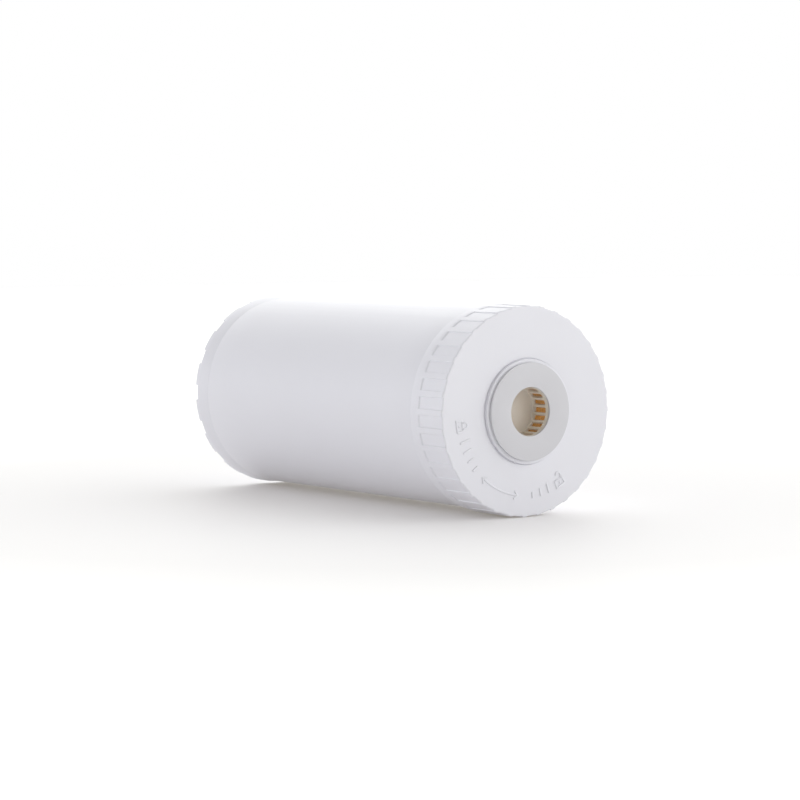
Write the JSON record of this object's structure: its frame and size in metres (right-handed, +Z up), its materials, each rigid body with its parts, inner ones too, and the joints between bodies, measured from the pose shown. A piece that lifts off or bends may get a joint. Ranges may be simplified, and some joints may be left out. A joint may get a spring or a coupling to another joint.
{
  "type": "water filter cartridge",
  "caption": "Refillable drop-in water filter cartridge: a plain tube of resin beads with a castellated base, and a screw cap with recessed grip panels, a flat gasket and a slotted strainer in its bore.",
  "frame": {"origin": "on the floor midway between the gasket's face and the end of the rear foot, under the cartridge's axis", "axes": "+X along the cartridge's axis out of the front end, +Z up, +Y to the side"},
  "size_m": [0.251, 0.114, 0.114],
  "materials": {
    "white_tube": "satin, smooth extruded",
    "white_cap": "satin, moulded",
    "cream_plastic": "satin, moulded",
    "mesh_cloth": "fine woven mesh",
    "grey_rubber": "matt, flat moulded",
    "black_rubber": "satin",
    "foam": "open-cell foam",
    "amber_resin": "packed glossy beads"
  },
  "bodies": {
    "canister": {"canister_tube": "white_tube", "rear_base": "white_cap", "resin_bed": "amber_resin", "front_foam_pad": "foam", "rear_foam_pad": "foam"},
    "front_seal": {"front_o_ring": "black_rubber"},
    "front_cap": {"front_cap": "white_cap", "front_gasket": "grey_rubber", "front_strainer": "cream_plastic", "front_mesh_sleeve": "mesh_cloth"}
  },
  "joints": [
    {"name": "front_cap_travel", "type": "slide", "parent": "canister", "child": "front_seal", "axis": [1, 0, 0], "range_m": [0, 0.0126]},
    {"name": "front_cap_turn", "type": "hinge", "parent": "front_seal", "child": "front_cap", "pos_m": [0.1221, 0, 0.057], "axis": [1, 0, 0], "range_deg": [0, 900]}
  ],
  "couplings": [
    {"joint": "front_cap_travel", "follows": "front_cap_turn", "m_per_rad": 0.00079577}
  ]
}
